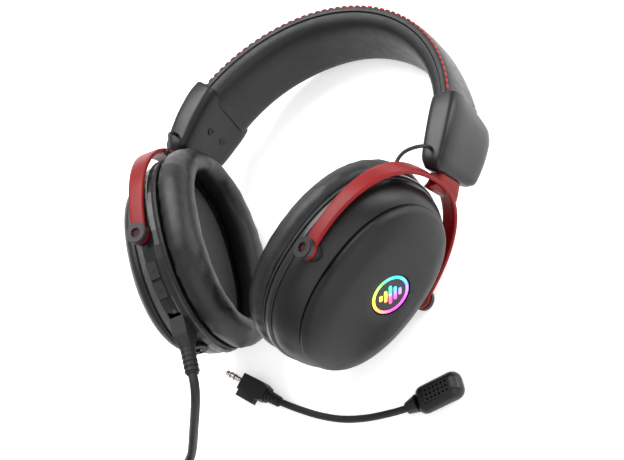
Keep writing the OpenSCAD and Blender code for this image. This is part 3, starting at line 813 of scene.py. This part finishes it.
for side in ("left", "right"):
    outer_cap(side)
    if side == "left":
        smooth_cad("left_shell", "shell")
        smooth_cad("left_trim_ring", "trim")
    else:
        finish_piece(shell(side), "shell", f"{side}_cup", "black_plastic", f"{side}_shell")
        trim_profile = rounded([
            (TRIM_IN, 41.4, 51.4), (TRIM_IN + 1, 42, 52), (SHELL_IN - 1, 42, 52),
            (SHELL_IN - 0.1, 41.4, 51.4), (SHELL_IN - 0.1, 38.6, 48.6), (TRIM_IN, 38.6, 48.6),
        ], [0.3, 0.6, 0.6, 0.3, 0, 0], 4, closed=True)
        trim = oval_loft(f"{side}_trim", trim_profile, side, True, 50)
        finish_piece(trim, "trim", f"{side}_cup", "dark_plastic", f"{side}_trim_ring")
    repaint(f"{side}_baffle", "dark")
    repaint(f"{side}_driver", "steel")
    repaint(f"{side}_diaphragm", "film")
    repaint(f"{side}_cushion_plate", "dark")
    repaint(f"{side}_ear_mesh", "mesh")
    repaint(f"{side}_light_board", "board")

# ---------------------------------------------------------------- ear cushions


REMESH_VOXEL = 0.004
SWELL_FRAMES = 20
SWELL_LIMIT = 0.0011


def inflate(obj, limit, pressure=4.0):
    """Lets cloth swell a copy of the piece, with no point moving more than limit."""
    scene = bpy.context.scene
    remesh = obj.modifiers.new("remesh", "REMESH")
    remesh.mode = "VOXEL"
    remesh.voxel_size = REMESH_VOXEL
    bpy.context.view_layer.update()
    depsgraph = bpy.context.evaluated_depsgraph_get()
    mesh = bpy.data.meshes.new_from_object(obj.evaluated_get(depsgraph))
    obj.modifiers.clear()
    obj.data = mesh
    start = np.array([v.co for v in mesh.vertices])
    cloth = obj.modifiers.new("cloth", "CLOTH")
    s = cloth.settings
    s.quality = 5
    s.mass = 0.25
    s.tension_stiffness = 12
    s.compression_stiffness = 12
    s.shear_stiffness = 6
    s.bending_stiffness = 0.3
    s.use_pressure = True
    s.uniform_pressure_force = pressure
    s.effector_weights.gravity = 0
    group = obj.vertex_groups.new(name="held")
    held = [i for i, v in enumerate(start) if is_backing(v, obj)]
    group.add(held, 1.0, "REPLACE")
    s.vertex_group_mass = "held"
    for f in range(1, SWELL_FRAMES + 1):
        scene.frame_set(f)
    depsgraph = bpy.context.evaluated_depsgraph_get()
    swollen = bpy.data.meshes.new_from_object(obj.evaluated_get(depsgraph))
    end = np.array([v.co for v in swollen.vertices])
    obj.modifiers.clear()
    scene.frame_set(1)
    move = end - start
    far = np.linalg.norm(move, axis=1)[:, None]
    move *= np.minimum(1, limit / np.maximum(far, 1e-9))
    for v, co in zip(mesh.vertices, start + move):
        v.co = co
    obj.vertex_groups.clear()
    finer = obj.modifiers.new("finer", "SUBSURF")
    finer.levels = 1
    bpy.context.view_layer.update()
    obj_eval = obj.evaluated_get(bpy.context.evaluated_depsgraph_get())
    smooth = bpy.data.meshes.new_from_object(obj_eval)
    obj.modifiers.clear()
    obj.data = smooth
    smooth.shade_smooth()


def is_backing(point, obj):
    """Whether a point is at the back of the cushion, where it is clamped to the cup."""
    side = "left" if obj.name.startswith("left") else "right"
    back = np.linalg.inv(cup_frame(side))
    x = (back[:3, :3] @ np.array(point) + back[:3, 3])[0]
    return x > CUSHION_OUT - 3.2


def ear_cushion(side):
    mid_y, mid_z = (CUSHION_Y + OPENING_Y) / 2, (CUSHION_Z + OPENING_Z) / 2
    profile = [
        (CUSHION_OUT - 1.6, CUSHION_Y - 2, CUSHION_Z - 2), (CUSHION_OUT - 4, CUSHION_Y, CUSHION_Z),
        (-21.6, CUSHION_Y, CUSHION_Z), (-25.6, CUSHION_Y - 2.4, CUSHION_Z - 2.4),
        (CUSHION_IN + 0.6, CUSHION_Y - 6, CUSHION_Z - 4.8), (CUSHION_IN, mid_y, mid_z),
        (CUSHION_IN + 1, OPENING_Y + 3, OPENING_Z + 1.5), (-25, OPENING_Y, OPENING_Z),
        (-17, OPENING_Y + 0.5, OPENING_Z + 0.5), (CUSHION_OUT - 1.6, OPENING_Y + 4, OPENING_Z + 3),
    ]
    fine = rounded(profile, 2.5, 4, closed=True)
    obj = oval_loft(f"{side}_cushion", fine, side, True, 60)
    rng = np.random.default_rng(7 if side == "left" else 11)
    waves = [(rng.integers(5, 26), rng.uniform(0, 6.28), rng.uniform(0.04, 0.16)) for _ in range(9)]
    back = np.linalg.inv(cup_frame(side))
    forward = cup_frame(side)
    for v in obj.data.vertices:
        p = back[:3, :3] @ np.array(v.co) + back[:3, 3]
        a = math.atan2(p[2], p[1])
        face = min(1.0, max(0.0, (-p[0] - 14) / 10))
        puff = sum(w * math.sin(k * a + ph) for k, ph, w in waves) * face
        p = p + np.array([0.35 * puff, 0, 0])
        v.co = forward[:3, :3] @ p + forward[:3, 3]
    inflate(obj, SWELL_LIMIT)
    finish_piece(obj, "cushion", f"{side}_cup", "cushion_leather", f"{side}_ear_cushion")


for side in ("left", "right"):
    ear_cushion(side)

# ---------------------------------------------------------------- emblems


def emblem(side):
    """A lit ring round five bars of different height."""
    where = cup_frame(side) @ shift(*EMBLEM_AT) @ turn("X", EMBLEM_TURN)
    top = CAP_OUT - 0.35
    centre = tuple(placed([(top, 0, 0)], where)[0])
    y_axis = tuple(where[:3, 1] / MM)
    z_axis = tuple(where[:3, 2] / MM)
    glow = rainbow(f"{side}_emblem_light", 2.2, centre, y_axis, z_axis)
    ang = 2 * np.pi * np.arange(96) / 96

    def turned(profile):
        return [np.column_stack([np.full(96, x), r * np.cos(ang), r * np.sin(ang)]) for x, r in profile]

    plate = turned([(top - 1.2, 0.05), (top - 1.2, EMBLEM_R), (top - 0.3, EMBLEM_R),
                    (top - 0.15, EMBLEM_R - 0.15), (top - 0.15, 0.05)])
    base = add_mesh(f"{side}_emblem_plate", np.vstack(plate[::-1]), skin_faces(len(plate), 96), where, 40)
    finish_piece(base, "trim", f"{side}_cup", "light_guide", f"{side}_emblem")
    r = EMBLEM_R - 1.3
    ring = turned([(top - 0.3, r - 0.75), (top + 0.05, r - 0.7), (top + 0.15, r - 0.45),
                   (top + 0.15, r + 0.45), (top + 0.05, r + 0.7), (top - 0.3, r + 0.75)])
    lit = [add_mesh("ring", np.vstack(ring), skin_faces(len(ring), 96, closed=True), where, 40)]
    for k, height in enumerate((3.0, 6.6, 10.4, 7.4, 4.0)):
        y = (k - 2) * 2.7
        outline = oval(0.85, height / 2, 6, 32)
        bar = [np.column_stack([np.full(32, x), y + outline[:, 0] * w, outline[:, 1] * w])
               for x, w in ((top - 0.3, 1), (top + 0.05, 1), (top + 0.15, 0.85))]
        lit.append(add_mesh("bar", np.vstack(bar), skin_faces(3, 32), where, 40))
    obj = join(lit, f"{side}_emblem_light")
    finish_piece(obj, glow, f"{side}_cup", "light_guide")


for side in ("left", "right"):
    emblem(side)

# ---------------------------------------------------------------- controls, sockets and plugs

repaint("control_board", "board")
repaint("volume_up_button", "button", 0.0004)
repaint("volume_down_button", "button", 0.0004)
status = Graph("status_light")
repaint("status_light", status.finish(Base_Color=(0.05, 0.05, 0.06, 1), Roughness=0.2))
repaint("mic_socket", "dark", 0.0003)
repaint("strain_relief", "rubber", 0.0002)
repaint("usb_plug_grip", "rubber", 0.0006)
repaint("usb_plug_shell", "nickel", 0.0002)
repaint("mic_plug", "nickel")
repaint("mic_plug_rings", "insulator")
repaint("mic_boot", "rubber", 0.0006)
repaint("mic_sleeve", "rubber", 0.0002)
repaint("mic_collar", "end_cap", 0.0004)
repaint("mic_grille", "dark")
repaint("mic_capsule", "steel")
repaint("headband_spring", "steel")
repaint("mic_housing", "end_cap")

BOOM_ROUTE = [
    (-12.2, -55.6, 3.8), (-6, -57.3, 3.8), (6, -59.6, 3.9), (20, -61.4, 4.2), (34, -61.6, 4.7),
    (48, -59.4, 5.2), (61.4, -55.4, 5.8), (69.6, -52.2, 6),
]
boom = tube("boom", smooth_path(BOOM_ROUTE, 0.8), BOOM_D / 2, sides=20)
boom.data.materials.append(M["rubber"])
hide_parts("mic_boom")
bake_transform(boom)

# ---------------------------------------------------------------- floor, light


def make_floor():
    mesh = bpy.data.meshes.new("floor")
    s = 6.0
    mesh.from_pydata([(-s, -s, 0), (s, -s, 0), (s, s, 0), (-s, s, 0)], [], [(0, 1, 2, 3)])
    floor = bpy.data.objects.new("floor", mesh)
    bpy.context.scene.collection.objects.link(floor)
    floor.location.z = -0.0002
    g = Graph("floor_paper")
    floor.data.materials.append(g.finish(Base_Color=(0.97, 0.97, 0.97, 1), Roughness=0.9,
                                         Emission_Color=(1, 1, 1, 1), Emission_Strength=0.45))


def make_light(name, at, target, size, power):
    data = bpy.data.lights.new(name, "AREA")
    data.shape = "RECTANGLE"
    data.size, data.size_y = size
    data.energy = power
    light = bpy.data.objects.new(name, data)
    bpy.context.scene.collection.objects.link(light)
    light.location = at
    light.rotation_euler = (Vector(target) - Vector(at)).to_track_quat("-Z", "Y").to_euler()
    return light


make_floor()
make_light("key", (-0.5, 0.6, 1.1), (0, 0, 0.05), (0.9, 0.9), 20)
make_light("fill", (0.9, -0.7, 0.9), (0, 0, 0.05), (1.5, 1.5), 9)
make_light("rim", (0.9, 0.9, 0.5), (0, 0.05, 0.05), (0.5, 1.0), 9)
world = bpy.data.worlds.new("world")
bpy.context.scene.world = world
world.use_nodes = True
world.node_tree.nodes["Background"].inputs["Color"].default_value = (1, 1, 1, 1)
world.node_tree.nodes["Background"].inputs["Strength"].default_value = 0.62
bpy.context.scene.view_settings.view_transform = "Standard"
